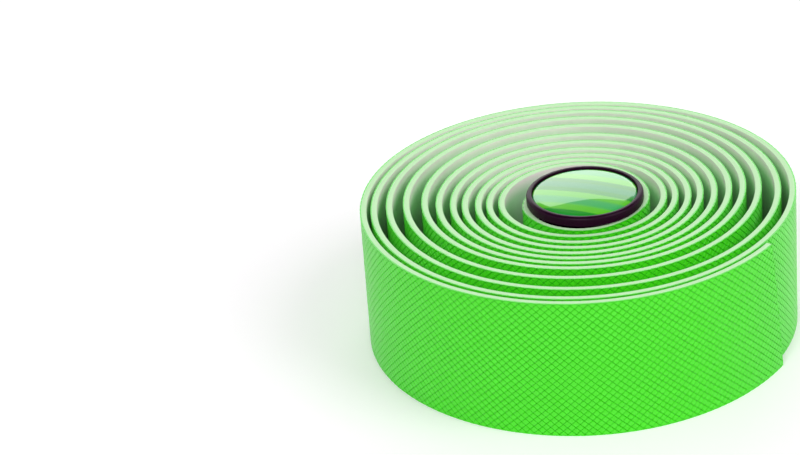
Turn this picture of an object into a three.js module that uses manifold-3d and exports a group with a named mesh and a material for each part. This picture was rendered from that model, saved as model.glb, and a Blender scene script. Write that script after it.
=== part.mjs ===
// A roll of handlebar tape, loosely wound on itself, with a bar-end plug pushed into its core.
// Millimetres, +Z up. The origin is the centre of the roll's footprint, on the surface it lies on.
import * as THREE from "three";
import { mergeVertices } from "three/addons/utils/BufferGeometryUtils.js";
import Module from "manifold-3d";

const { degToRad, lerp, clamp } = THREE.MathUtils;

// Tape strip: an embossed skin on a foam backing, cut square at its two edges
const tapeWidth = 30;
const tapeThickness = 1.4;
const skinEdgeChamfer = 0.2;
const outerEndSlant = 4;
const slantRun = 9;

// Winding, counted in turns from its start and growing counter-clockwise, with six stations a turn
const startAngle = degToRad(145);
const stationsPerTurn = 6;

// Air between the plug's barbs and the first turn, at the back left, front left, front,
// front right, back right and back
const coreGaps = [0.95, 2.05, 2.25, 1.5, 3.8, 7.15];

// Air between each turn and the next, a row for each of those stations
const gaps = [
  [5, 0.95, 0.95, 1.5, 1.45, 1.85, 2.3, 2.5, 1.9, 1.2, 0.9],
  [3, 1.2, 0.9, 1.25, 0.8, 1.3, 1, 2.4, 2.45, 2.25, 0.7],
  [1.3, 1.2, 0.9, 0.9, 0.75, 0.65, 0.7, 2.5, 3.1, 2.4, 0.55],
  [2.1, 1, 1.15, 0.75, 1.25, 0.95, 1.05, 2, 3.15, 1.6, 0.3],
  [2, 0.95, 1.35, 1.55, 1.75, 2.25, 1.9, 1.7, 1.95, 1.65, 0.5],
  [0.55, 0.95, 1.5, 1.95, 2.2, 3.1, 2.4, 1.7, 0.75, 0.6, 0.5],
];

// The strip ends part of a turn past the last full one
const endShare = 0.508;
const endTurn = gaps[0].length + endShare;

// Plug body: a round head with a recess for its badge, and a slotted, barbed barrel
const plugOffset = new THREE.Vector2(1.25, -2.35);
const headLift = 0.15;
const flangeRadius = 12.15;
const flangeThickness = 2.15;
const flangeChamfer = 0.3;
const rimWidth = 1.15;
const rimRound = 0.95;
const lipChamfer = 0.15;
const recessDepth = 1.1;
const barrelRadius = 8.7;
const barrelWall = 1.5;
const barrelLength = 20;
const barrelLeadIn = 1.2;
const tipChamfer = 0.5;
const rootFillet = 0.8;
const barbCount = 4;
const barbHeight = 1.1;
const barbPitch = 3.6;
const barbLip = 0.5;
const fingerCount = 6;
const slotWidth = 1.8;
const slotLength = 15;
const slotOverrun = 1;

// Badge: a domed label glued into the recess
const badgeClearance = 0.15;
const badgeGlue = 0.1;
const badgeEdge = 0.75;
const badgeDome = 0.6;

// Mesh fineness
const stepLength = 4.4;
const smallestStep = degToRad(5.6);
const largestStep = degToRad(8.5);
const roundSegments = 48;
const domeSteps = 6;
const filletSteps = 4;

const wasm = await Module();
wasm.setup();

// Radius of the tape's middle line where it clears the plug's barbs by a gap
function coreRadius(gap, station) {
  const angle = startAngle + (2 * Math.PI * station) / stationsPerTurn;
  const along = plugOffset.x * Math.cos(angle) + plugOffset.y * Math.sin(angle);
  const aside = plugOffset.y * Math.cos(angle) - plugOffset.x * Math.sin(angle);
  const circle = barrelRadius + barbHeight + gap + tapeThickness / 2;
  return along + Math.sqrt(circle * circle - aside * aside);
}

// Radii at every station, each one tape thickness and one air gap past the one a turn before
function stationRadii() {
  const radii = coreGaps.map(coreRadius);
  for (let turn = 0; turn < gaps[0].length; turn++) {
    gaps.forEach((row, i) => {
      radii.push(radii[turn * stationsPerTurn + i] + tapeThickness + row[turn]);
    });
  }
  return radii;
}

// The middle line's radius is a smooth curve through the stations
const stations = new THREE.SplineCurve(stationRadii().map((radius, i) => new THREE.Vector2(i, radius)));

function windingRadius(turn) {
  const station = Math.max(turn, 0) * stationsPerTurn;
  return stations.getPoint(station / (stations.points.length - 1)).y;
}

function windingPoint(turn) {
  const angle = startAngle + 2 * Math.PI * turn;
  const radius = windingRadius(turn);
  return new THREE.Vector2(radius * Math.cos(angle), radius * Math.sin(angle));
}

// Point of the strip at a turn, offset outwards across its thickness
function stripPoint(turn, offset, height) {
  const nudge = 1e-3;
  const ahead = windingPoint(turn + nudge);
  const behind = windingPoint(turn - nudge);
  const tangent = ahead.sub(behind).normalize();
  const middle = windingPoint(turn);
  return new THREE.Vector3(middle.x + tangent.y * offset, middle.y - tangent.x * offset, height);
}

// Turns at which the strip gets a cross-section: even lengths, within the two step limits
function sectionTurns() {
  const turns = [0];
  while (turns.at(-1) < endTurn) {
    const step = clamp(stepLength / windingRadius(turns.at(-1)), smallestStep, largestStep);
    turns.push(turns.at(-1) + step / (2 * Math.PI));
  }
  return turns.map((turn) => (turn * endTurn) / turns.at(-1));
}

// The outer end is cut askew: its upper corner stops short of its lower one
function slantedTurn(turn, height) {
  const arc = 2 * Math.PI * windingRadius(endTurn);
  const share = clamp(1 - ((endTurn - turn) * arc) / slantRun, 0, 1);
  return turn - (share * outerEndSlant * height) / (tapeWidth * arc);
}

// Cross-section of the strip as [offset, height] pairs, its skin side outwards
function stripSection() {
  const half = tapeThickness / 2;
  const c = skinEdgeChamfer;
  return [
    [-half, 0],
    [half - c, 0],
    [half, c],
    [half, tapeWidth - c],
    [half - c, tapeWidth],
    [-half, tapeWidth],
  ];
}

function stripGeometry() {
  const section = stripSection();
  const turns = sectionTurns();
  const sides = section.length;
  const points = turns.flatMap((turn) =>
    section.map(([offset, height]) => stripPoint(slantedTurn(turn, height), offset, height)),
  );
  const faces = [];
  for (let i = 0; i < turns.length - 1; i++) {
    for (let j = 0; j < sides; j++) {
      const a = i * sides + j;
      const b = i * sides + ((j + 1) % sides);
      faces.push(a, b + sides, b, a, a + sides, b + sides);
    }
  }
  const last = (turns.length - 1) * sides;
  for (let j = 1; j < sides - 1; j++) {
    faces.push(0, j, j + 1);
    faces.push(last, last + j + 1, last + j);
  }
  const geometry = new THREE.BufferGeometry().setFromPoints(points);
  geometry.setIndex(faces);
  geometry.computeVertexNormals();
  return geometry;
}

// Points of a quarter round, or part of one, from one angle to another
function roundCorner(x, y, radius, from, to, steps) {
  return Array.from({ length: steps + 1 }, (_, i) => {
    const angle = lerp(from, to, i / steps);
    return [x + radius * Math.cos(angle), y + radius * Math.sin(angle)];
  });
}

function revolve(profile, segments) {
  const points = profile.map(([r, z]) => new THREE.Vector2(Math.max(r, 0), z));
  return new THREE.LatheGeometry(points, segments).rotateX(Math.PI / 2);
}

// Closed geometry to manifold solid and back
function toSolid(geometry) {
  const bare = geometry.clone();
  bare.deleteAttribute("normal");
  bare.deleteAttribute("uv");
  const merged = mergeVertices(bare, 1e-4);
  const vertProperties = new Float32Array(merged.attributes.position.array);
  const triVerts = new Uint32Array(merged.index.array);
  return new wasm.Manifold(new wasm.Mesh({ numProp: 3, vertProperties, triVerts }));
}

function toGeometry(solid) {
  const mesh = solid.getMesh();
  const geometry = new THREE.BufferGeometry();
  geometry.setAttribute("position", new THREE.BufferAttribute(mesh.vertProperties, 3));
  geometry.setIndex(new THREE.BufferAttribute(mesh.triVerts, 1));
  geometry.computeVertexNormals();
  return geometry;
}

// Heights are measured from the underside of the plug's head, the barrel pointing down
const recessRadius = flangeRadius - rimWidth;
const recessFloor = flangeThickness - recessDepth;

function plugProfile() {
  const barbs = Array.from({ length: barbCount }, (_, i) => {
    const top = -barrelLength + barrelLeadIn + (i + 1) * barbPitch;
    return [
      [barrelRadius, top - barbPitch + barbLip],
      [barrelRadius + barbHeight, top - barbLip],
      [barrelRadius + barbHeight, top],
      [barrelRadius, top],
    ];
  }).flat();
  const filletCentre = barrelRadius + rootFillet;
  const fillet = roundCorner(filletCentre, -rootFillet, rootFillet, Math.PI, Math.PI / 2, filletSteps);
  const rimCentre = flangeRadius - rimRound;
  const rim = roundCorner(rimCentre, flangeThickness - rimRound, rimRound, 0, Math.PI / 2, filletSteps);
  const innerRadius = barrelRadius - barrelWall;
  return [
    [0, 0],
    [innerRadius, 0],
    [innerRadius, -barrelLength],
    [barrelRadius - tipChamfer, -barrelLength],
    ...barbs,
    ...fillet,
    [flangeRadius - flangeChamfer, 0],
    [flangeRadius, flangeChamfer],
    ...rim,
    [recessRadius, flangeThickness - lipChamfer],
    [recessRadius, recessFloor],
    [0, recessFloor],
  ];
}

// Slots split the barrel's lower part into springy fingers
function slotCutters() {
  const reach = 2 * (barrelRadius + barbHeight + slotOverrun);
  const height = 2 * slotLength;
  return Array.from({ length: fingerCount / 2 }, (_, i) => {
    const box = new THREE.BoxGeometry(reach, slotWidth, height);
    box.translate(0, 0, -barrelLength);
    return box.rotateZ((i * 2 * Math.PI) / fingerCount);
  });
}

function plugGeometry() {
  const turned = toSolid(revolve(plugProfile(), roundSegments));
  const cut = slotCutters().reduce((solid, slot) => solid.subtract(toSolid(slot)), turned);
  return toGeometry(cut);
}

// A shallow cap of a sphere over a short straight edge
function badgeGeometry() {
  const radius = recessRadius - badgeClearance;
  const sphere = (radius * radius + badgeDome * badgeDome) / (2 * badgeDome);
  const dome = Array.from({ length: domeSteps + 1 }, (_, i) => {
    const r = radius * (1 - i / domeSteps);
    return [r, badgeEdge + badgeDome - sphere + Math.sqrt(sphere * sphere - r * r)];
  });
  return revolve([[0, 0], [radius, 0], ...dome], roundSegments);
}

function part(name, geometry, colour, roughness) {
  const material = new THREE.MeshStandardMaterial({ color: colour, roughness, metalness: 0 });
  const mesh = new THREE.Mesh(geometry, material);
  mesh.name = name;
  return mesh;
}

const tape = part("tape", stripGeometry(), "#4ce63a", 0.55);

const plug = new THREE.Group();
plug.add(part("plug_body", plugGeometry(), "#2b0028", 0.35));
const badge = part("plug_badge", badgeGeometry(), "#58bf62", 0.12);
badge.position.z = recessFloor + badgeGlue;
plug.add(badge);
plug.position.set(plugOffset.x, plugOffset.y, tapeWidth + headLift);

const roll = new THREE.Group();
roll.add(tape, plug);

// The footprint's centre goes to the origin
const footprint = new THREE.Box3().setFromObject(tape).getCenter(new THREE.Vector3());
roll.position.set(-footprint.x, -footprint.y, 0);

const model = new THREE.Group();
model.add(roll);

export default model;
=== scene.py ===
"""A roll of handlebar tape with a bar-end plug in its core, dressed for a studio picture."""
import math
from functools import partial

import bpy
import numpy as np
from bpy.props import FloatProperty, FloatVectorProperty, IntProperty, PointerProperty
from mathutils import Matrix, Vector


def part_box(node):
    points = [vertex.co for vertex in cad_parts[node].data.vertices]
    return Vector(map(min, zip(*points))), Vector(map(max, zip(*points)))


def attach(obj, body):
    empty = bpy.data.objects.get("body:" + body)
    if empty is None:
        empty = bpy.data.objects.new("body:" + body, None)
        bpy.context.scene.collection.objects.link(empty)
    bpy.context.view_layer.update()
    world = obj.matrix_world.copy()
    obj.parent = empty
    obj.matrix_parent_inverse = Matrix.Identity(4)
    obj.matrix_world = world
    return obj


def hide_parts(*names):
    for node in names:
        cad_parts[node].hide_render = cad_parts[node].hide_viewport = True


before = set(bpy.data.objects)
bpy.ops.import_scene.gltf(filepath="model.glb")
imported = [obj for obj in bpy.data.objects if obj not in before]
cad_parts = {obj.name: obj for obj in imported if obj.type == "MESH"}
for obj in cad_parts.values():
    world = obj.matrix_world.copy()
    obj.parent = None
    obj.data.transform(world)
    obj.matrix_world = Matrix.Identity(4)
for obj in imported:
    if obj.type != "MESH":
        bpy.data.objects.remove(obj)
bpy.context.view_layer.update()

bl_info = {
    "name": "Handlebar tape roll",
    "version": (1, 0, 0),
    "blender": (4, 5, 0),
    "location": "3D View > Sidebar > Tape roll",
    "description": "Winds an embossed handlebar tape round a bar-end plug",
    "category": "Mesh",
}

MM = 0.001
FULL_TURN = 2 * math.pi
STATIONS_PER_TURN = 6
BLACK = (0.0, 0.0, 0.0, 1.0)
WHITE = (1.0, 1.0, 1.0, 1.0)

# Spacing of the foam's cross-sections, and the corners of a square about its middle
RING_SPACING = 1.6 * MM
SQUARE = ((-1, -1), (1, -1), (1, 1), (-1, 1))

# Attributes and the node tree that more than one function names
BAKE_MAP = "OFBake"
RELIEF = "relief"
FROM_MIDDLE = "from_middle"
ACROSS = "across"
WIND_TREE = "wind a flat strip"

# Kinds of node that come up often
MATH = "ShaderNodeMath"
VECTOR_MATH = "ShaderNodeVectorMath"
COMBINE = "ShaderNodeCombineXYZ"
SEPARATE = "ShaderNodeSeparateXYZ"
COORDINATE = "ShaderNodeTexCoord"
ATTRIBUTE = "ShaderNodeAttribute"
NOISE = "ShaderNodeTexNoise"
VORONOI = "ShaderNodeTexVoronoi"
MAP_RANGE = "ShaderNodeMapRange"
CLAMP = "ShaderNodeClamp"
MIX = "ShaderNodeMix"
BUMP = "ShaderNodeBump"
PRINCIPLED = "ShaderNodeBsdfPrincipled"
OUTPUT = "ShaderNodeOutputMaterial"
SET_POSITION = "GeometryNodeSetPosition"


# Colours and nodes

def linear(hex_colour):
    """The linear RGBA of an sRGB hex colour such as #46e632."""
    parts = [int(hex_colour[i:i + 2], 16) / 255 for i in (1, 3, 5)]
    return tuple(c / 12.92 if c <= 0.04045 else ((c + 0.055) / 1.055) ** 2.4 for c in parts) + (1.0,)


def add_node(tree, kind, inputs=(), **settings):
    """Adds a node, sets its properties, and fills or links its inputs, which are named or in order.

    Only sockets that the settings leave in use count. A node among the inputs is linked by its first
    output, and each item of a list is linked to the same input."""
    made = tree.nodes.new(kind)
    for key, value in settings.items():
        setattr(made, key, value)
    for key, given in inputs.items() if isinstance(inputs, dict) else enumerate(inputs):
        in_use = [socket for socket in made.inputs if socket.enabled]
        socket = in_use[key] if isinstance(key, int) else next(s for s in in_use if s.name == key)
        for value in given if isinstance(given, list) else [given]:
            if isinstance(value, bpy.types.Node):
                value = next(output for output in value.outputs if output.enabled)
            if isinstance(value, bpy.types.NodeSocket):
                tree.links.new(value, socket)
            else:
                socket.default_value = value
    return made


def new_material(name):
    """An empty material, add_node for its tree, the place on the object and the user's colours."""
    material = bpy.data.materials.new(name)
    material.use_nodes = True
    material.node_tree.nodes.clear()
    add = partial(add_node, material.node_tree)
    return material, add, add(COORDINATE).outputs["Object"], bpy.context.scene.roll_finish


def per_millimetre(pitch_mm):
    """Scale of a texture on Object coordinates, in metres, for one feature every pitch_mm."""
    return 1 / (pitch_mm * MM)


# Sizes and colours that a user may change

def length_of(name, description, millimetres):
    return FloatProperty(name=name, description=description, default=millimetres * MM, unit="LENGTH")


def share_of(name, description, share):
    return FloatProperty(
        name=name, description=description, default=share, min=0, max=1, subtype="FACTOR")


def count_of(name, description, count):
    return IntProperty(name=name, description=description, default=count, min=1)


def gap_row(where, millimetres, between="the turns, from the inside out"):
    return FloatVectorProperty(
        name=f"{where} gaps", description=f"Air between {between}", size=len(millimetres),
        default=[gap * MM for gap in millimetres])


def colour_of(name, description, hex_colour):
    return FloatVectorProperty(
        name=name, description=description, subtype="COLOR", size=4, default=linear(hex_colour))


class WindingSizes(bpy.types.PropertyGroup):
    strip_width: length_of("Strip width", "Width of the tape, the height of the roll", 30)
    strip_thickness: length_of("Strip thickness", "Foam and skin together", 1.4)
    skin_thickness: length_of("Skin thickness", "The green skin, up to the tops of its pips", 0.4)
    edge_round: length_of("Edge round", "Radius of the foam's slit edges", 0.18)
    start_angle: FloatProperty(
        name="Start", description="Direction, seen from the roll's axis, in which the strip starts",
        default=math.radians(145), subtype="ANGLE")
    end_turn: FloatProperty(
        name="Turns", description="Turns from the strip's start to its end", default=11.508)
    end_slant: length_of("End slant", "How much further the lower corner of the outer end reaches", 4)
    slant_run: length_of("Slant run", "Length of strip over which its end comes to lean", 9)
    plug_x: length_of("Plug X", "The plug's place, seen from the roll's axis", 1.25)
    plug_y: length_of("Plug Y", "The plug's place, seen from the roll's axis", -2.35)
    core_gaps: gap_row("Core", (
        0.95, 2.05, 2.25, 1.5, 3.8, 7.15), "the plug's barbs and the first turn, at the six stations")
    back_left_gaps: gap_row("Back left", (
        5, 0.95, 0.95, 1.5, 1.45, 1.85, 2.3, 2.5, 1.9, 1.2, 0.9))
    front_left_gaps: gap_row("Front left", (
        3, 1.2, 0.9, 1.25, 0.8, 1.3, 1, 2.4, 2.45, 2.25, 0.7))
    front_gaps: gap_row("Front", (
        1.3, 1.2, 0.9, 0.9, 0.75, 0.65, 0.7, 2.5, 3.1, 2.4, 0.55))
    front_right_gaps: gap_row("Front right", (
        2.1, 1, 1.15, 0.75, 1.25, 0.95, 1.05, 2, 3.15, 1.6, 0.3))
    back_right_gaps: gap_row("Back right", (
        2, 0.95, 1.35, 1.55, 1.75, 2.25, 1.9, 1.7, 1.95, 1.65, 0.5))
    back_gaps: gap_row("Back", (
        0.55, 0.95, 1.5, 1.95, 2.2, 3.1, 2.4, 1.7, 0.75, 0.6, 0.5))


class EmbossSizes(bpy.types.PropertyGroup):
    cell_length: length_of("Pip length", "Diagonal of a pip along the strip", 1.667)
    cell_width: length_of("Pip width", "Diagonal of a pip across the strip", 1.54)
    pip_height: length_of("Pip height", "Height of a pip over its grooves", 0.26)
    land: share_of("Land", "Share of a pip's width that its top takes", 0.87)
    pillow: length_of("Pillow", "How much a pip's middle stands over its shoulders", 0.03)
    inner_land: share_of("Inner land", "Land of the plain pips on inner turns, to the outer turn's", 0.92)
    inner_height: share_of("Inner height", "Height of those pips, to the outer turn's", 0.9)
    edge_offset: length_of("Edge offset", "How far the pattern starts outside the strip's lower edge", 0.4)
    unevenness: share_of("Unevenness", "Share by which pips differ in height", 0.2)
    inner_stretches: count_of("Inner stretches", "Pieces that the skin of the inner turns is made in", 3)


class PlugSizes(bpy.types.PropertyGroup):
    rim_width: length_of("Rim width", "Width of the head's rim", 1.15)
    rim_round: length_of("Rim round", "Radius of the rim's outer edge", 0.7)
    lip_round: length_of("Lip round", "Radius of the rim's inner edge", 0.12)
    flange_thickness: length_of("Head thickness", "Thickness of the plug's head", 2.15)
    flange_chamfer: length_of("Head chamfer", "Chamfer round the head's underside", 0.3)
    recess_depth: length_of("Recess depth", "Depth of the recess for the badge", 1.1)
    root_fillet: length_of("Root fillet", "Fillet between head and barrel", 0.8)
    barrel_radius: length_of("Barrel radius", "Radius of the barrel", 8.7)
    barrel_wall: length_of("Barrel wall", "Wall of the hollow barrel", 1.5)
    tip_chamfer: length_of("Tip chamfer", "Chamfer round the barrel's tip", 0.5)
    lead_in: length_of("Lead-in", "Smooth tip of the barrel below its barbs", 1.2)
    barb_height: length_of("Barb height", "How far a barb stands out", 1.1)
    barb_pitch: length_of("Barb pitch", "Distance between barbs", 3.6)
    barb_lip: length_of("Barb lip", "Straight part of a barb, along the barrel", 0.5)
    barb_round: length_of("Barb softness", "How far a barb's edges are taken off", 0.1)
    barb_count: count_of("Barbs", "Barbs along the barrel", 4)
    finger_count: count_of("Fingers", "Springy fingers of the barrel", 6)
    slot_width: length_of("Slot width", "Width of the slots between fingers", 1.8)
    slot_length: length_of("Slot length", "Length of the slots", 15)
    dome_height: length_of("Dome height", "Height of the badge's dome", 0.6)
    dome_shoulder: length_of("Dome shoulder", "How far the resin falls away at its rim", 0.35)
    shoulder_run: length_of("Shoulder run", "How far in from the rim it starts to", 1.2)
    badge_chamfer: length_of("Badge chamfer", "Chamfer round the badge's underside", 0.1)


class FinishColours(bpy.types.PropertyGroup):
    skin: colour_of("Skin", "Green of the tape's skin", "#48e018")
    # Painted shade: the grooves' deeper green stands in for the shade that falls down in them
    groove_shade: colour_of("Grooves", "Green down in the skin's grooves", "#18c40a")
    skin_rim: colour_of("Skin's rim", "Slit edges of the skin", "#9cec8e")
    # Painted light: the foam's faint green stands in for the green light that the skin throws onto it
    foam: colour_of("Foam", "Back of the tape", "#c6f0c6")
    foam_by_edge: colour_of("Foam, by its edges", "Back of the tape beside its slit edges", "#f8f3ec")
    # Painted light: the slit edges' faint green, deeper by the skin, stands in for the skin's light shining
    # through the foam
    cut_edge: colour_of("Cut edge", "Slit edges of the foam", "#ccf3c2")
    cut_edge_skin_glow: colour_of("Cut edge, by the skin", "Slit edges tinted by the skin", "#c0f0b6")
    plug: colour_of("Plug", "Plastic of the plug", "#25001f")
    print_mint: colour_of("Print, mint", "Palest colour of the badge", "#38b45c")
    print_lime: colour_of("Print, lime", "Lime stripes of the badge", "#58c61a")
    print_green: colour_of("Print, green", "Green stripes of the badge", "#069618")
    print_teal: colour_of("Print, teal", "Teal stripes of the badge", "#04964e")
    floor: colour_of("Floor", "Studio floor", "#fcf7fc")


# The winding's middle line, as the solids have it

class Winding:
    """Middle line of the strip, seen from above, in even steps with the length reached at each."""

    step = 0.5 * MM
    samples = 9000

    def __init__(self, sizes, barbs):
        self.sizes = sizes
        self.stations = self.station_radii(barbs)
        turns = np.linspace(0, sizes.end_turn, self.samples)
        pieces = np.linalg.norm(np.diff(self.points(turns), axis=0), axis=1)
        lengths = np.concatenate([[0], np.cumsum(pieces)])
        self.length = float(lengths[-1])
        self.reached = np.linspace(0, self.length, round(self.length / self.step) + 1)
        self.turns = np.interp(self.reached, lengths, turns)
        self.line = self.points(self.turns)

    def core_radii(self, barbs):
        """Radii at the first turn's stations, where the strip clears the plug's barbs by the core gaps."""
        s = self.sizes
        angle = s.start_angle + FULL_TURN * np.arange(STATIONS_PER_TURN) / STATIONS_PER_TURN
        along = s.plug_x * np.cos(angle) + s.plug_y * np.sin(angle)
        aside = s.plug_y * np.cos(angle) - s.plug_x * np.sin(angle)
        circle = barbs + np.array(s.core_gaps) + s.strip_thickness / 2
        return along + np.sqrt(circle ** 2 - aside ** 2)

    def station_radii(self, barbs):
        """Each radius is one strip and one gap past the one a turn before."""
        s = self.sizes
        rows = np.array([
            s.back_left_gaps, s.front_left_gaps, s.front_gaps,
            s.front_right_gaps, s.back_right_gaps, s.back_gaps])
        steps = np.vstack([self.core_radii(barbs), rows.T + s.strip_thickness])
        return np.cumsum(steps, axis=0).ravel()

    def radius(self, turns):
        """A smooth curve through the stations."""
        last = len(self.stations) - 1
        x = turns * STATIONS_PER_TURN
        here = np.clip(np.floor(x).astype(int), 0, last - 1)
        u = x - here
        near = [self.stations[np.clip(here + k, 0, last)] for k in (-1, 0, 1, 2)]
        return (
            near[0] * (-u + 2 * u ** 2 - u ** 3) + near[1] * (2 - 5 * u ** 2 + 3 * u ** 3)
            + near[2] * (u + 4 * u ** 2 - 3 * u ** 3) + near[3] * (u ** 3 - u ** 2)) / 2

    def points(self, turns):
        angle = self.sizes.start_angle + FULL_TURN * turns
        radius = self.radius(turns)
        return np.stack([radius * np.cos(angle), radius * np.sin(angle)], 1)

    def centred(self, box):
        """Moves the line so that the strip's outline is centred in the solid's box."""
        tangent = np.gradient(self.line, axis=0)
        tangent /= np.linalg.norm(tangent, axis=1)[:, None]
        outer = self.line + np.stack([tangent[:, 1], -tangent[:, 0]], 1) * self.sizes.strip_thickness / 2
        middle = (outer.min(0) + outer.max(0)) / 2
        low, high = np.array(box)[:, :2]
        self.line = self.line + (low + high) / 2 - middle
        return self

    def length_at(self, turn):
        return float(np.interp(turn, self.turns, self.reached))


def the_winding():
    scene = bpy.context.scene
    barbs = scene.roll_plug.barrel_radius + scene.roll_plug.barb_height
    return Winding(scene.roll_winding, barbs).centred(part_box("tape"))


# Meshes

def add_object(name, mesh):
    piece = bpy.data.objects.new(name, mesh)
    bpy.context.scene.collection.objects.link(piece)
    return piece


def mesh_from(name, points, faces):
    mesh = bpy.data.meshes.new(name)
    mesh.from_pydata([tuple(p) for p in points], [], [tuple(int(i) for i in f) for f in faces])
    mesh.update()
    return mesh


def smooth_mesh(mesh, sharp_from=math.radians(35)):
    mesh.shade_smooth()
    mesh.set_sharp_from_angle(angle=sharp_from)


def baked_mesh(piece, name):
    """The piece as its modifiers make it, as a plain mesh, with the modifiers gone."""
    bpy.context.view_layer.update()
    depsgraph = bpy.context.evaluated_depsgraph_get()
    mesh = bpy.data.meshes.new_from_object(piece.evaluated_get(depsgraph))
    mesh.name = name
    piece.modifiers.clear()
    piece.data = mesh
    piece.name = name


def hand_over(piece, node):
    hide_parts(node)
    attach(piece, "root")


def revolved(name, profile, centre, segments):
    """Closed solid of revolution: profile goes from axis to axis as (radius, height) pairs."""
    angles = np.arange(segments) * FULL_TURN / segments
    on_axis = 1e-9
    points, rings, faces = [], [], []
    for r, z in profile:
        if r < on_axis:
            rings.append([len(points)] * segments)
            points.append((centre[0], centre[1], z))
        else:
            rings.append(list(range(len(points), len(points) + segments)))
            points += [(centre[0] + r * math.cos(a), centre[1] + r * math.sin(a), z) for a in angles]
    for lower, upper in zip(rings, rings[1:]):
        for i in range(segments):
            j = (i + 1) % segments
            corners = [lower[i], lower[j], upper[j], upper[i]]
            faces.append([c for k, c in enumerate(corners) if c != corners[k - 1]])
    return mesh_from(name, points, faces)


def round_corner(x, y, radius, start, end, steps):
    """Points of an arc, with its angles in degrees."""
    angles = np.radians(np.linspace(start, end, steps + 1))
    return [(x + radius * math.cos(a), y + radius * math.sin(a)) for a in angles]


# Geometry node trees

def geometry_tree(tree_name, **numbers):
    """A tree with its inputs, the numbers listed by kind: the tree, add_node for it and the inputs."""
    tree = bpy.data.node_groups.new(tree_name, "GeometryNodeTree")
    tree.interface.new_socket(name="Geometry", in_out="OUTPUT", socket_type="NodeSocketGeometry")
    inputs = {"Geometry": ["Geometry"], "Object": ["Winding"], "Material": ["Material"], **numbers}
    for kind, names in inputs.items():
        for name in names:
            tree.interface.new_socket(name=name, in_out="INPUT", socket_type=f"NodeSocket{kind}")
    add = partial(add_node, tree)
    return tree, add, add("NodeGroupInput").outputs


def end_tree(add, geometry, material):
    """Ends a tree in real geometry that has its material."""
    real = add("GeometryNodeRealizeInstances", [geometry])
    done = add("GeometryNodeSetMaterial", {"Geometry": real, "Material": material})
    add("NodeGroupOutput", [done])


def sent_through(tree, name, mesh, values):
    """The piece that a node tree makes of a mesh, its inputs set by their sockets' identifiers."""
    piece = add_object(name, mesh)
    modifier = piece.modifiers.new(tree.name, "NODES")
    modifier.node_group = tree
    for item in tree.interface.items_tree:
        if item.in_out == "INPUT" and item.name in values:
            modifier[item.identifier] = values[item.name]
    baked_mesh(piece, name)
    return piece


def wind_tree():
    """Takes a flat strip, length along X, height along Y, offset along Z, and winds it up; made once."""
    if WIND_TREE in bpy.data.node_groups:
        return bpy.data.node_groups[WIND_TREE]
    tree, add, given = geometry_tree(WIND_TREE)
    line = add("GeometryNodeObjectInfo", [given["Winding"]]).outputs["Geometry"]
    flat = add(SEPARATE, [add("GeometryNodeInputPosition")]).outputs
    at = add("GeometryNodeSampleCurve", {"Curves": line, "Length": flat["X"]},
             mode="LENGTH", use_all_curves=True).outputs
    outward = add(VECTOR_MATH, [at["Tangent"], (0, 0, 1)], operation="CROSS_PRODUCT")
    pushed = add(VECTOR_MATH, [outward, flat["Z"]], operation="SCALE")
    raised = add(COMBINE, {"Z": flat["Y"]})
    moved = add(VECTOR_MATH, [at["Position"], pushed], operation="ADD")
    placed = add(VECTOR_MATH, [moved, raised], operation="ADD")
    wound = add(SET_POSITION, {"Geometry": given["Geometry"], "Position": placed})
    end_tree(add, wound, given["Material"])
    return tree


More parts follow.
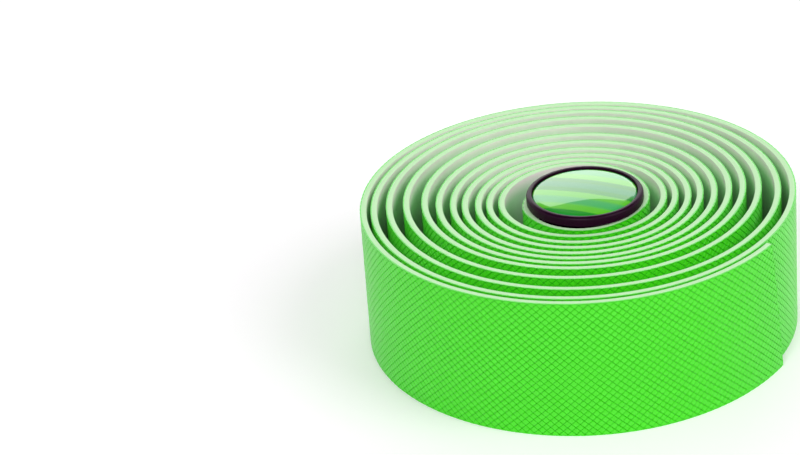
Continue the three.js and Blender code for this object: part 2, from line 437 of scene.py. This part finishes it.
def emboss_tree():
    """Lays pips out flat in a lattice, cuts them to the strip, adds the skin's rim and maps them."""
    tree, add, given = geometry_tree(
        "press pips into the skin and wind it", Int=["First cell", "Cells along", "Cells across"],
        Float=["Cell length", "Cell width", "Edge offset", "Strip width", "Strip end", "End slant",
               "Slant run", "Groove offset", "Skin depth", "Pip height", "Unevenness", "Map rows"])
    width, depth, slant = given["Strip width"], given["Skin depth"], given["End slant"]
    cell_length, cell_width = given["Cell length"], given["Cell width"]
    start = add(MATH, [given["First cell"], cell_length], operation="MULTIPLY")
    run = add(MATH, [given["Cells along"], cell_length], operation="MULTIPLY")

    # The lattice, one pair of pips in each cell
    size_x = add(MATH, [run, cell_length], operation="SUBTRACT")
    spaces = add(MATH, [given["Cells across"], 1.0], operation="SUBTRACT")
    size_y = add(MATH, [spaces, cell_width], operation="MULTIPLY")
    half_y = add(MATH, [size_y, 0.5], operation="MULTIPLY")
    lattice = add("GeometryNodeMeshGrid", {
        "Size X": size_x, "Size Y": size_y,
        "Vertices X": given["Cells along"], "Vertices Y": given["Cells across"]})
    lattice = add("GeometryNodeTransform", {"Geometry": lattice, "Translation": add(COMBINE, [
        add(MATH, [size_x, 0.5, start], operation="MULTIPLY_ADD"),
        add(MATH, [half_y, given["Edge offset"]], operation="SUBTRACT")])})
    pips = add("GeometryNodeInstanceOnPoints", {"Points": lattice, "Instance": given["Geometry"]})
    pips = add("GeometryNodeRealizeInstances", [pips])

    # Every point's length along the strip, height up it and offset from its grooves
    position = add("GeometryNodeInputPosition")
    s, h, o = add(SEPARATE, [position]).outputs
    share_up = add(MATH, [h, width], operation="DIVIDE")
    end_slant = add(MATH, [slant, share_up], operation="MULTIPLY")
    end_here = add(MATH, [given["Strip end"], end_slant], operation="SUBTRACT")

    # Pips wholly outside the strip go, and those that cross its edges are pressed back to them
    from_middle = add("GeometryNodeInputNamedAttribute", {"Name": FROM_MIDDLE}, data_type="FLOAT_VECTOR")
    middle = add(SEPARATE, [add(VECTOR_MATH, [position, from_middle], operation="SUBTRACT")]).outputs
    almost_half = 0.499
    reach_x = add(MATH, [cell_length, almost_half], operation="MULTIPLY")
    reach_y = add(MATH, [cell_width, almost_half], operation="MULTIPLY")
    outside = 0.0
    for place, toward, reach, beyond, edge in (
            (middle["Y"], "SUBTRACT", reach_y, "GREATER_THAN", width),
            (middle["Y"], "ADD", reach_y, "LESS_THAN", 0.0),
            (middle["X"], "ADD", reach_x, "LESS_THAN", 0.0),
            (middle["X"], "SUBTRACT", reach_x, "GREATER_THAN", end_here)):
        near_corner = add(MATH, [place, reach], operation=toward)
        past = add(MATH, [near_corner, edge], operation=beyond)
        outside = add(MATH, [outside, past], operation="MAXIMUM")
    pips = add("GeometryNodeDeleteGeometry", {"Geometry": pips, "Selection": outside}, domain="POINT")
    pips = add("GeometryNodeRemoveAttribute", {"Geometry": pips, "Name": FROM_MIDDLE})
    pips = add("GeometryNodeMergeByDistance", {"Geometry": pips, "Distance": 0.02 * MM})
    # The noise seldom rises over its top here, so it mostly makes pips lower
    grain_top = 0.62
    grain = add(NOISE, {"Vector": position, "Scale": per_millimetre(2.4), "Detail": 1.0})
    swell = add(MATH, [grain, grain_top], operation="SUBTRACT")
    swell = add(MATH, [swell, given["Unevenness"], 1.0], operation="MULTIPLY_ADD")
    pips = add(SET_POSITION, {"Geometry": pips, "Position": add(COMBINE, [
        add(CLAMP, [s, 0.0, end_here]), add(CLAMP, [h, 0.0, width]),
        add(MATH, [o, swell], operation="MULTIPLY")])})

    # The skin under the pips: its rim and its underside
    slab = add("GeometryNodeMeshCube", {
        "Size": add(COMBINE, [run, width, depth]),
        "Vertices X": given["Cells along"], "Vertices Y": 2, "Vertices Z": 2})
    slab = add("GeometryNodeTransform", {"Geometry": slab, "Translation": add(COMBINE, [
        add(MATH, [run, 0.5, start], operation="MULTIPLY_ADD"),
        add(MATH, [width, 0.5], operation="MULTIPLY"),
        add(MATH, [depth, -0.5], operation="MULTIPLY")])})
    facing = add(SEPARATE, [add("GeometryNodeInputNormal")]).outputs["Z"]
    upward = add(MATH, [facing, 0.5], operation="GREATER_THAN")
    slab = add("GeometryNodeDeleteGeometry", {"Geometry": slab, "Selection": upward}, domain="FACE")
    before_end = add(MATH, [given["Strip end"], s], operation="SUBTRACT")
    before_end = add(MATH, [before_end, given["Slant run"]], operation="DIVIDE")
    lean = add(MATH, [1.0, before_end], operation="SUBTRACT", use_clamp=True)
    lean = add(MATH, [lean, share_up], operation="MULTIPLY")
    lean = add(MATH, [lean, slant], operation="MULTIPLY")
    kept = add(MATH, [s, given["Strip end"]], operation="MINIMUM")
    slab = add(SET_POSITION, {"Geometry": slab, "Position": add(COMBINE, [
        add(MATH, [kept, lean], operation="SUBTRACT"), h, o])})

    # For the material: each point's height over the grooves, and 2 on the cut rim
    share_high = add(MATH, [o, given["Pip height"]], operation="DIVIDE")
    halves = [
        add("GeometryNodeStoreNamedAttribute", {"Geometry": half, "Name": RELIEF, "Value": relief},
            data_type="FLOAT", domain="POINT")
        for half, relief in ((pips, share_high), (slab, 2.0))]
    skin = add("GeometryNodeJoinGeometry", [halves])
    uv = skin_map(add, given, (s, h, o), (start, run), share_up, facing)
    skin = add("GeometryNodeStoreNamedAttribute", {"Geometry": skin, "Name": BAKE_MAP, "Value": uv},
               data_type="FLOAT2", domain="CORNER")

    # Lifted to its place in the strip's thickness, then wound, with the grooves left sharp
    lifted = add(COMBINE, {"Z": given["Groove offset"]})
    skin = add(SET_POSITION, {"Geometry": skin, "Offset": lifted})
    skin = add("GeometryNodeGroup", {
        "Geometry": skin, "Winding": given["Winding"], "Material": given["Material"]},
        node_tree=wind_tree())
    sharp = add(MATH, [add("GeometryNodeInputMeshEdgeAngle"), math.radians(50)], operation="GREATER_THAN")
    skin = add("GeometryNodeSetShadeSmooth", {"Geometry": skin, "Shade Smooth": True}, domain="FACE")
    skin = add("GeometryNodeSetShadeSmooth", {
        "Geometry": skin, "Selection": sharp,
        "Shade Smooth": add(MATH, [sharp, 0.5], operation="LESS_THAN")}, domain="EDGE")
    end_tree(add, skin, given["Material"])
    return tree


def skin_map(add, given, point, stretch, share_up, facing):
    """The flat strip, folded into rows, is its own map, with its underside in a thin band at the top."""
    s, h, o = point
    start, run = stretch
    rows = given["Map rows"]
    margin = 1.5 * MM
    headroom = 1.04
    band_bottom, band_height = 0.975, 0.02
    row_length = add(MATH, [run, rows], operation="DIVIDE")
    from_start = add(MATH, [s, start], operation="SUBTRACT")
    row = add(MATH, [add(MATH, [from_start, row_length], operation="DIVIDE")], operation="FLOOR")
    row = add(CLAMP, [row, 0.0, add(MATH, [rows, 1.0], operation="SUBTRACT")])
    row = add("GeometryNodeFieldOnDomain", [row], data_type="FLOAT", domain="FACE")

    # The rim's walls fold out past the row's two long edges
    sunk = add(MATH, [o, -1.0], operation="MULTIPLY", use_clamp=True)
    side = add(MATH, [add(MATH, [share_up, 0.5], operation="SUBTRACT")], operation="SIGN")
    pitch = add(MATH, [given["Strip width"], 2 * margin], operation="ADD")
    before = add(MATH, [row, row_length], operation="MULTIPLY")
    u = add(MATH, [from_start, before], operation="SUBTRACT")
    folded = add(MATH, [sunk, side, h], operation="MULTIPLY_ADD")
    v = add(MATH, [row, pitch, folded], operation="MULTIPLY_ADD")

    # The longer of the sheet's two sides, with room at its edges, is one unit of the map
    stacked = add(MATH, [rows, pitch], operation="MULTIPLY")
    sheet = add(MATH, [row_length, stacked], operation="MAXIMUM")
    sheet = add(MATH, [sheet, 3 * margin], operation="ADD")
    sheet = add(MATH, [sheet, headroom], operation="MULTIPLY")
    outer = add(COMBINE, [
        add(MATH, [add(MATH, [u, 1.5 * margin], operation="ADD"), sheet], operation="DIVIDE"),
        add(MATH, [add(MATH, [v, margin], operation="ADD"), sheet], operation="DIVIDE")])
    along = add(MATH, [from_start, margin], operation="ADD")
    whole = add(MATH, [run, 3 * margin], operation="ADD")
    under = add(COMBINE, [
        add(MATH, [along, whole], operation="DIVIDE"),
        add(MATH, [share_up, band_height, band_bottom], operation="MULTIPLY_ADD")])
    downward = add("GeometryNodeFieldOnDomain", [add(MATH, [facing, -0.5], operation="LESS_THAN")],
                   data_type="FLOAT", domain="FACE")
    return add(MIX, [downward, outer, under], data_type="VECTOR")


def winding_curve(winding):
    """A helper curve for the node trees, as long as the strip; it isn't kept."""
    curve = bpy.data.curves.new("winding line", "CURVE")
    curve.dimensions = "3D"
    spline = curve.splines.new("POLY")
    spline.points.add(len(winding.line) - 1)
    flat = np.zeros((len(winding.line), 4))
    flat[:, :2] = winding.line
    flat[:, 3] = 1
    spline.points.foreach_set("co", flat.ravel())
    return add_object("winding line", curve)


def remove_curve(piece):
    curve = piece.data
    bpy.data.objects.remove(piece)
    bpy.data.curves.remove(curve)


# Finishes

def polyurethane_skin():
    """Polyurethane film, hot embossed: satin, even in colour, with painted shade as a deeper green down in
    its grooves.
    """
    material, add, place, colours = new_material("polyurethane skin, hot embossed")
    relief = add(ATTRIBUTE, attribute_name=RELIEF).outputs["Fac"]
    # Cloudiness of the pigment, over a few millimetres
    cloud = add(NOISE, {"Vector": place, "Scale": per_millimetre(4), "Detail": 3.0})
    drift = add(MATH, [cloud, 0.5], operation="SUBTRACT")
    # Painted shade: the green turns deeper towards the bottom of the grooves, where shade falls
    high = add(MATH, [drift, 0.5, relief], operation="MULTIPLY_ADD")
    lit_share = add(MAP_RANGE, {"Value": high, "From Min": 0.0, "From Max": 0.75},
                interpolation_type="SMOOTHSTEP")
    shaded_face = add(MIX, [lit_share, colours.groove_shade, colours.skin], data_type="RGBA")
    on_rim = add(MAP_RANGE, {"Value": relief, "From Min": 1.4, "From Max": 1.6})
    colour = add(MIX, [on_rim, shaded_face, colours.skin_rim], data_type="RGBA")
    # Grain of the release paper, a few hundredths of a millimetre, drawn at 0.12 mm to show
    fine = add(NOISE, {"Vector": place, "Scale": per_millimetre(0.12), "Detail": 2.0})
    bump = add(BUMP, {"Height": fine, "Strength": 0.25, "Distance": 0.02 * MM})
    shine = add(MAP_RANGE, {"Value": cloud, "To Min": 0.27, "To Max": 0.38})
    add(OUTPUT, [add(PRINCIPLED, {
        "Base Color": colour, "Roughness": shine, "Normal": bump, "IOR": 1.5, "Specular IOR Level": 0.5})])
    return material


def foam_backing(strip_width):
    """Closed-cell foam, skived: matt and pale, with a faint green painted on for the light that its skin
    throws onto it, and whiter by its edges.
    """
    material, add, place, colours = new_material("closed-cell foam, skived")
    pores = add(VORONOI, {"Vector": place, "Scale": per_millimetre(0.35), "Randomness": 1.0})
    cloud = add(NOISE, {"Vector": place, "Scale": per_millimetre(7), "Detail": 4.0})
    tone = add(MAP_RANGE, {
        "Value": cloud, "From Min": 0.3, "From Max": 0.7, "To Min": 0.9, "To Max": 1.0})
    # The white band by either edge, where the painted green gives way, begins 3.2 mm in and is full 0.4 mm
    # in
    half = strip_width / 2
    height = add(SEPARATE, [place]).outputs["Z"]
    from_middle = add(MATH, [add(MATH, [height, half], operation="SUBTRACT")], operation="ABSOLUTE")
    whiter = add(MAP_RANGE, {
        "Value": from_middle, "From Min": half - 3.2 * MM, "From Max": half - 0.4 * MM})
    skin_glow_tint = add(MIX, [whiter, colours.foam, colours.foam_by_edge], data_type="RGBA")
    colour = add(MIX, [tone, BLACK, skin_glow_tint], data_type="RGBA")
    bump = add(BUMP, {"Height": pores, "Strength": 0.35, "Distance": 0.05 * MM})
    add(OUTPUT, [add(PRINCIPLED, {
        "Base Color": colour, "Roughness": 0.85, "Normal": bump, "IOR": 1.45})])
    return material


def foam_cut_edge():
    """The same foam where the slitting knife has cut it: open cells, with green light from the skin beside
    them painted on.
    """
    material, add, place, colours = new_material("closed-cell foam, slit edge")
    pores = add(VORONOI, {"Vector": place, "Scale": per_millimetre(0.22), "Randomness": 1.0})
    tone = add(MAP_RANGE, {
        "Value": pores, "From Min": 0.0, "From Max": 0.5, "To Min": 0.93, "To Max": 1.0})
    # Painted light: the skin's green light through the foam, deeper towards the skin
    across = add(ATTRIBUTE, attribute_name=ACROSS).outputs["Fac"]
    skin_glow_share = add(MATH, [across, 1.5], operation="POWER")
    skin_glow_tint = add(MIX, [skin_glow_share, colours.cut_edge, colours.cut_edge_skin_glow], data_type="RGBA")
    colour = add(MIX, [tone, BLACK, skin_glow_tint], data_type="RGBA")
    bump = add(BUMP, {"Height": pores, "Strength": 0.4, "Distance": 0.05 * MM})
    add(OUTPUT, [add(PRINCIPLED, {
        "Base Color": colour, "Roughness": 0.8, "Normal": bump, "IOR": 1.45})])
    return material


def moulded_nylon():
    """Nylon, injection moulded in a polished tool: deep colour under a slightly orange-peeled gloss."""
    material, add, place, colours = new_material("nylon, injection moulded")
    peel = add(NOISE, {"Vector": place, "Scale": per_millimetre(1.3), "Detail": 2.0})
    tone = add(MAP_RANGE, {
        "Value": peel, "From Min": 0.3, "From Max": 0.7, "To Min": 0.8, "To Max": 1.0})
    colour = add(MIX, [tone, BLACK, colours.plug], data_type="RGBA")
    shine = add(MAP_RANGE, {"Value": peel, "To Min": 0.26, "To Max": 0.38})
    bump = add(BUMP, {"Height": peel, "Strength": 0.15, "Distance": 0.03 * MM})
    add(OUTPUT, [add(PRINCIPLED, {
        "Base Color": colour, "Roughness": shine, "Normal": bump, "IOR": 1.53,
        "Specular IOR Level": 0.09})])
    return material


def domed_print():
    """A printed film under poured clear resin: slanting stripes below a glossy, slightly uneven dome."""
    material, add, place, colours = new_material("printed film under poured resin")
    slanted = add("ShaderNodeMapping", {"Vector": place, "Rotation": (0, 0, math.radians(24))})
    # A wave texture repeats every tenth of pi, so this is one set of stripes every 13.48 mm
    stripes = add("ShaderNodeTexWave", {
        "Vector": slanted, "Scale": per_millimetre(13.48) * math.pi / 10, "Distortion": 1.7, "Detail": 2.0,
        "Detail Scale": 0.6}, wave_type="BANDS", bands_direction="Y").outputs["Fac"]
    inks = add("ShaderNodeValToRGB", {"Fac": stripes})
    inks.color_ramp.interpolation = "EASE"
    stops = inks.color_ramp.elements
    for index, (position, ink) in enumerate((
            (0.0, colours.print_teal), (0.14, colours.print_green), (0.34, colours.print_green),
            (0.48, colours.print_lime), (0.8, colours.print_lime), (1.0, colours.print_mint))):
        stop = stops[index] if index < 2 else stops.new(position)
        stop.position = position
        stop.color = ink
    uneven = add(NOISE, {"Vector": place, "Scale": per_millimetre(13), "Detail": 0.0})
    bump = add(BUMP, {"Height": uneven, "Strength": 0.5, "Distance": 0.55 * MM})
    add(OUTPUT, [add(PRINCIPLED, {
        "Base Color": inks, "Roughness": 0.5, "Specular IOR Level": 0.1, "IOR": 1.5,
        "Coat Weight": 1.0, "Coat Roughness": 0.02, "Coat Normal": bump})])
    return material


def shown_rays(add):
    """1 for the rays by which the surround is seen, straight, mirrored or through glass."""
    rays = add("ShaderNodeLightPath").outputs
    seen = add(MATH, [rays["Is Camera Ray"], rays["Is Glossy Ray"]], operation="MAXIMUM")
    return add(MATH, [seen, rays["Is Transmission Ray"]], operation="MAXIMUM")


def white_floor(footprint):
    """Seamless paper, matt white: it keeps the object's soft shadow, and a little glow clears it to white.

    The glow starts at the footprint's radius, so the floor seen between the turns stays in their shade."""
    material, add, place, colours = new_material("seamless paper, matt")
    fibre = add(NOISE, {"Vector": place, "Scale": per_millimetre(3)})
    bump = add(BUMP, {"Height": fibre, "Strength": 0.05, "Distance": 0.05 * MM})
    away = add(VECTOR_MATH, [place], operation="LENGTH")
    glow = add(MAP_RANGE, {
        "Value": away, "From Min": footprint - 2 * MM, "From Max": footprint + 1 * MM,
        "To Max": FLOOR_GLOW})
    glow = add(MATH, [shown_rays(add), glow], operation="MULTIPLY")
    add(OUTPUT, [add(PRINCIPLED, {
        "Base Color": colours.floor, "Roughness": 0.9, "Normal": bump, "Specular IOR Level": 0.2,
        "Emission Color": WHITE, "Emission Strength": glow})])
    return material


# The stage

FLOOR_GLOW = 0.14
FLOOR_HALF = 4.0
CAMERA_LENS_MM = 135.0
CAMERA_ELEVATION = math.radians(27.464)
CAMERA_ROLL = math.radians(-4.514)
CAMERA_PLACE = Vector((-0.03726, -0.55410, 0.31407))

# Name, place, width and height, and power in watts of each lamp
LAMPS = (
    ("key softbox", (0.76, -0.46, 0.92), (0.75, 0.75), 5.4),
    ("back softbox", (-0.02, 0.85, 0.36), (0.9, 0.42), 2.75),
    ("front fill", (-0.27, -0.92, 0.76), (0.7, 0.5), 5.8),
)
LAMP_AIM = Vector((0, 0, 0.02))

# The surround's strength as it lights, as it is seen, and as a ceiling that only reflections reach
SURROUND_LIGHT = 0.44
SURROUND_SEEN = 1.0
CEILING_SEEN = 0.07
CEILING_FROM, CEILING_FULL = 0.52, 0.60


class ROLL_OT_stage(bpy.types.Operator):
    """Sets up the camera, the floor, the lamps and the world"""
    bl_idname = "tape_roll.stage"
    bl_label = "Stage"

    def execute(self, context):
        scene = context.scene
        scene.view_settings.view_transform = "Standard"
        scene.camera = self.place_camera()
        self.lay_floor()
        for lamp in LAMPS:
            self.hang_lamp(*lamp)
        scene.world = self.surround()
        return {"FINISHED"}

    def place_camera(self):
        data = bpy.data.cameras.new("photo camera")
        data.sensor_width = 36
        data.lens = CAMERA_LENS_MM
        data.clip_start = 0.01
        camera = add_object("photo camera", data)
        tilt = Matrix.Rotation(math.pi / 2 - CAMERA_ELEVATION, 4, "X")
        turn = Matrix.Rotation(CAMERA_ROLL, 4, "Z")
        camera.matrix_world = Matrix.Translation(CAMERA_PLACE) @ tilt @ turn
        return camera

    def lay_floor(self):
        corners = [(x * FLOOR_HALF, y * FLOOR_HALF, 0) for x, y in SQUARE]
        floor = add_object("floor", mesh_from("floor", corners, [(0, 1, 2, 3)]))
        (left, _, _), (right, _, _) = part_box("tape")
        floor.data.materials.append(white_floor((right - left) / 2))

    def hang_lamp(self, name, place, size, power):
        light = bpy.data.lights.new(name, "AREA")
        light.shape = "RECTANGLE"
        light.size, light.size_y = size
        light.energy = power
        aimed = (LAMP_AIM - Vector(place)).to_track_quat("-Z", "Y").to_matrix().to_4x4()
        add_object(name, light).matrix_world = Matrix.Translation(place) @ aimed

    def surround(self):
        """White round about, with a dim ceiling above it."""
        world = bpy.data.worlds.new("white surround")
        world.use_nodes = True
        world.node_tree.nodes.clear()
        add = partial(add_node, world.node_tree)
        above = add(SEPARATE, [add(COORDINATE).outputs["Generated"]]).outputs["Z"]
        shown = add(MAP_RANGE, {
            "Value": above, "From Min": CEILING_FROM, "From Max": CEILING_FULL,
            "To Min": SURROUND_SEEN, "To Max": CEILING_SEEN})
        strength = add(MAP_RANGE, {"Value": shown_rays(add), "To Min": SURROUND_LIGHT, "To Max": shown})
        background = add("ShaderNodeBackground", {"Color": WHITE, "Strength": strength})
        add("ShaderNodeOutputWorld", [background])
        return world


# The tape

def flat_strip(name, section, winding):
    """A flat strip of closed cross-section, one ring every few millimetres, its far end askew."""
    sizes = winding.sizes
    count = round(winding.length / RING_SPACING)
    points = []
    for s in np.linspace(0, winding.length, count + 1):
        share = np.clip(1 - (winding.length - s) / sizes.slant_run, 0, 1)
        for offset, height in section:
            lean = share * sizes.end_slant * height / sizes.strip_width
            points.append((s - lean, height, offset))
    sides = len(section)
    faces = []
    for i in range(count):
        for j in range(sides):
            a, b = i * sides + j, i * sides + (j + 1) % sides
            faces.append((a, a + sides, b + sides, b))
    faces.append(tuple(range(sides)))
    faces.append(tuple(count * sides + j for j in reversed(range(sides))))
    return mesh_from(name, points, faces)


class ROLL_OT_foam(bpy.types.Operator):
    """Winds up the foam backing of the tape"""
    bl_idname = "tape_roll.foam"
    bl_label = "Foam backing"

    cut_faces_from = 0.3

    def execute(self, context):
        winding = the_winding()
        line = winding_curve(winding)
        sizes = winding.sizes
        inner = -sizes.strip_thickness / 2
        outer = sizes.strip_thickness / 2 - sizes.skin_thickness
        width, r = sizes.strip_width, sizes.edge_round
        section = [
            *round_corner(inner + r, r, r, 180, 270, steps=3), (outer, 0), (outer, width),
            *round_corner(inner + r, width - r, r, 90, 180, steps=3)]
        strip = flat_strip("foam_backing", section, winding)
        across = strip.attributes.new(ACROSS, "FLOAT", "POINT")
        offsets = np.array([vertex.co.z for vertex in strip.vertices])
        across.data.foreach_set("value", (offsets - inner) / (outer - inner))
        piece = sent_through(wind_tree(), "foam_backing", strip, {
            "Winding": line, "Material": foam_backing(width)})
        piece.data.materials.append(foam_cut_edge())
        self.paint_edges(piece.data)
        smooth_mesh(piece.data)
        remove_curve(line)
        hand_over(piece, "tape")
        return {"FINISHED"}

    def paint_edges(self, mesh):
        """Faces that look up or down are the knife's cut, and so are the two ends, the last faces."""
        normals = np.empty(len(mesh.polygons) * 3)
        mesh.polygons.foreach_get("normal", normals)
        index = (np.abs(normals.reshape(-1, 3)[:, 2]) > self.cut_faces_from).astype(np.int32)
        index[-2:] = 1
        mesh.polygons.foreach_set("material_index", index)


def pip_pair(name, sizes, rounded):
    """Two pips of one lattice cell: four-cornered cushions standing corner to corner.

    The rounded ones have blunt corners and a pillowed top, the plain ones are cut-off pyramids."""
    half = np.array([sizes.cell_length / 2, sizes.cell_width / 2])
    corners = [np.array(c) for c in ((1, 0), (0, 1), (-1, 0), (0, -1))]
    sides = [(i, (i + 1) % 4) for i in range(4)]
    shoulder_height = sizes.pip_height - sizes.pillow
    blunt = (1 - sizes.land) / 2
    points, faces, offsets = [], [], []
    for middle in (np.zeros(2), half):
        foot = len(points)
        points += [(*(middle + c * half), 0) for c in corners]
        if rounded:
            rim, shoulder, crown = foot + 4, foot + 12, foot + 16
            for i, j in sides:
                for toward in (corners[i - 1], corners[j]):
                    edge = corners[i] * (1 - blunt) + toward * blunt
                    points.append((*(middle + edge * half), 0))
            points += [(*(middle + c * half * sizes.land), shoulder_height) for c in corners]
            points.append((*middle, sizes.pip_height))
            for i, j in sides:
                before, after = rim + 2 * i, rim + 2 * i + 1
                faces.append((foot + i, after, shoulder + i, before))
                faces.append((after, rim + 2 * j, shoulder + j, shoulder + i))
                faces.append((shoulder + i, shoulder + j, crown))
        else:
            top, height = foot + 4, sizes.pip_height * sizes.inner_height
            land = sizes.land * sizes.inner_land
            points += [(*(middle + c * half * land), height) for c in corners]
            faces += [(foot + i, foot + j, top + j, top + i) for i, j in sides]
            faces.append(tuple(range(top, top + 4)))
        offsets += [(*(np.array(point[:2]) - middle), 0) for point in points[foot:]]
    mesh = mesh_from(name, points, faces)
    attribute = mesh.attributes.new(FROM_MIDDLE, "FLOAT_VECTOR", "POINT")
    attribute.data.foreach_set("vector", np.array(offsets).ravel())
    return mesh


class ROLL_OT_skin(bpy.types.Operator):
    """Presses the pips into the skin and winds it up, in stretches"""
    bl_idname = "tape_roll.skin"
    bl_label = "Embossed skin"

    def execute(self, context):
        winding = the_winding()
        line = winding_curve(winding)
        sizes, emboss = winding.sizes, context.scene.roll_emboss
        tree, material = emboss_tree(), polyurethane_skin()
        cells = math.ceil(winding.length / emboss.cell_length) + 1
        across = math.floor((sizes.strip_width + emboss.edge_offset) / emboss.cell_width) + 2
        inner_cells = int(winding.length_at(sizes.end_turn - 1.0) / emboss.cell_length)
        count = emboss.inner_stretches
        bounds = [round(inner_cells * i / count) for i in range(count + 1)] + [cells]
        names = [f"skin_stretch_{i + 1}" for i in range(count)] + ["skin_outer_turn"]
        for name, first, end in zip(names, bounds, bounds[1:]):
            pips = pip_pair(name, emboss, rounded=end == cells)
            run = (end - first) * emboss.cell_length
            piece = sent_through(tree, name, pips, {
                "Winding": line, "Material": material, "First cell": first, "Cells along": end - first,
                "Cells across": across, "Cell length": emboss.cell_length, "Cell width": emboss.cell_width,
                "Edge offset": emboss.edge_offset, "Strip width": sizes.strip_width,
                "Strip end": winding.length, "End slant": sizes.end_slant, "Slant run": sizes.slant_run,
                "Groove offset": sizes.strip_thickness / 2 - emboss.pip_height,
                "Skin depth": sizes.skin_thickness - emboss.pip_height, "Pip height": emboss.pip_height,
                "Unevenness": emboss.unevenness,
                "Map rows": float(max(1, round(math.sqrt(run / sizes.strip_width))))})
            hand_over(piece, "tape")
        remove_curve(line)
        return {"FINISHED"}


# The plug

def round_box(node):
    """Bottom, top, middle and radius of a turned solid."""
    low, high = (Vector(c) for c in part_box(node))
    return low.z, high.z, (low + high) / 2, (high.x - low.x) / 2


class ROLL_OT_plug(bpy.types.Operator):
    """Turns the plug's body and cuts its fingers"""
    bl_idname = "tape_roll.plug"
    bl_label = "Plug body"

    segments = 192

    def execute(self, context):
        sizes = context.scene.roll_plug
        low, high, centre, radius = round_box("plug_body")
        profile = self.profile(sizes, radius, low, high)
        piece = add_object("plug_moulding", revolved("plug_moulding", profile, centre, self.segments))
        for cutter in self.slots(sizes, centre, low, radius):
            modifier = piece.modifiers.new("slot", "BOOLEAN")
            modifier.operation = "DIFFERENCE"
            modifier.object = cutter
            baked_mesh(piece, "plug_moulding")
            bpy.data.objects.remove(cutter)
        piece.data.materials.append(moulded_nylon())
        smooth_mesh(piece.data)
        hand_over(piece, "plug_body")
        return {"FINISHED"}

    def profile(self, s, radius, bottom, top):
        """Radii and heights of the turned body, from its axis under the head round to the recess."""
        underside, floor = top - s.flange_thickness, top - s.recess_depth
        barrel, recess = s.barrel_radius, radius - s.rim_width
        bore, crests, soft = barrel - s.barrel_wall, barrel + s.barb_height, s.barb_round
        fillet, rim, lip = s.root_fillet, s.rim_round, s.lip_round
        barbs = []
        for i in range(s.barb_count):
            crest = bottom + s.lead_in + (i + 1) * s.barb_pitch
            bend = crest - s.barb_lip
            barbs += [
                (barrel, crest - s.barb_pitch + s.barb_lip), (crests - soft, bend - soft / 2),
                (crests, bend + soft / 2), (crests, crest - soft), (crests - soft, crest), (barrel, crest)]
        return [
            (0, underside), (bore, underside), (bore, bottom), (barrel - s.tip_chamfer, bottom), *barbs,
            *round_corner(barrel + fillet, underside - fillet, fillet, 180, 90, steps=8),
            (radius - s.flange_chamfer, underside), (radius, underside + s.flange_chamfer),
            *round_corner(radius - rim, top - rim, rim, 0, 90, steps=12),
            *round_corner(recess + lip, top - lip, lip, 90, 180, steps=4),
            (recess, floor), (0, floor)]

    def slots(self, sizes, centre, bottom, radius):
        """Boxes across the whole barrel, each of which parts two pairs of fingers."""
        sides = [(j, (j + 1) % 4, 4 + (j + 1) % 4, 4 + j) for j in range(4)]
        cutters = []
        for i in range(sizes.finger_count // 2):
            turn = Matrix.Rotation(-i * FULL_TURN / sizes.finger_count, 2)
            points = []
            for z in (bottom - sizes.slot_length, bottom + sizes.slot_length):
                for x, y in SQUARE:
                    flat = Vector((x * radius, y * sizes.slot_width / 2)) @ turn
                    points.append((centre.x + flat.x, centre.y + flat.y, z))
            box = mesh_from("slot cutter", points, [(3, 2, 1, 0), (4, 5, 6, 7), *sides])
            cutters.append(add_object("slot cutter", box))
        return cutters


class ROLL_OT_badge(bpy.types.Operator):
    """Pours the badge's dome"""
    bl_idname = "tape_roll.badge"
    bl_label = "Badge"

    segments = 160
    rings = 28
    sharp_from = math.radians(60)

    def execute(self, context):
        sizes = context.scene.roll_plug
        low, high, centre, radius = round_box("plug_badge")
        dome, shoulder, chamfer = sizes.dome_height, sizes.dome_shoulder, sizes.badge_chamfer
        sphere = (radius ** 2 + dome ** 2) / (2 * dome)
        profile = [
            (0, low), (radius - chamfer, low), (radius, low + chamfer), (radius, high - dome - shoulder)]
        for i in range(self.rings + 1):
            r = radius * math.cos(math.pi / 2 * i / self.rings)
            cap = high - sphere + math.sqrt(sphere ** 2 - r ** 2)
            inward = min(1, (radius - r) / sizes.shoulder_run)
            fall = shoulder * (1 - math.sqrt(1 - (1 - inward) ** 2))
            profile.append((r, cap - fall))
        piece = add_object("badge_dome", revolved("badge_dome", profile, centre, self.segments))
        piece.data.materials.append(domed_print())
        smooth_mesh(piece.data, self.sharp_from)
        hand_over(piece, "plug_badge")
        return {"FINISHED"}


class ROLL_PT_panel(bpy.types.Panel):
    bl_label = "Tape roll"
    bl_idname = "ROLL_PT_panel"
    bl_space_type = "VIEW_3D"
    bl_region_type = "UI"
    bl_category = "Tape roll"

    def draw(self, context):
        for step in STEPS:
            self.layout.operator(step.bl_idname)
        for group in GROUPS:
            settings = getattr(context.scene, group)
            for key in settings.bl_rna.properties.keys():
                if key not in {"rna_type", "name"}:
                    self.layout.prop(settings, key)


STEPS = (ROLL_OT_stage, ROLL_OT_foam, ROLL_OT_skin, ROLL_OT_plug, ROLL_OT_badge)
GROUPS = {
    "roll_winding": WindingSizes, "roll_emboss": EmbossSizes, "roll_plug": PlugSizes,
    "roll_finish": FinishColours,
}
CLASSES = (*GROUPS.values(), *STEPS, ROLL_PT_panel)


def register():
    for entry in CLASSES:
        bpy.utils.register_class(entry)
    for name, group in GROUPS.items():
        setattr(bpy.types.Scene, name, PointerProperty(type=group))


def unregister():
    for name in GROUPS:
        delattr(bpy.types.Scene, name)
    for entry in reversed(CLASSES):
        bpy.utils.unregister_class(entry)


def main():
    register()
    for step in STEPS:
        category, name = step.bl_idname.split(".")
        getattr(getattr(bpy.ops, category), name)()


if __name__ == "__main__":
    main()
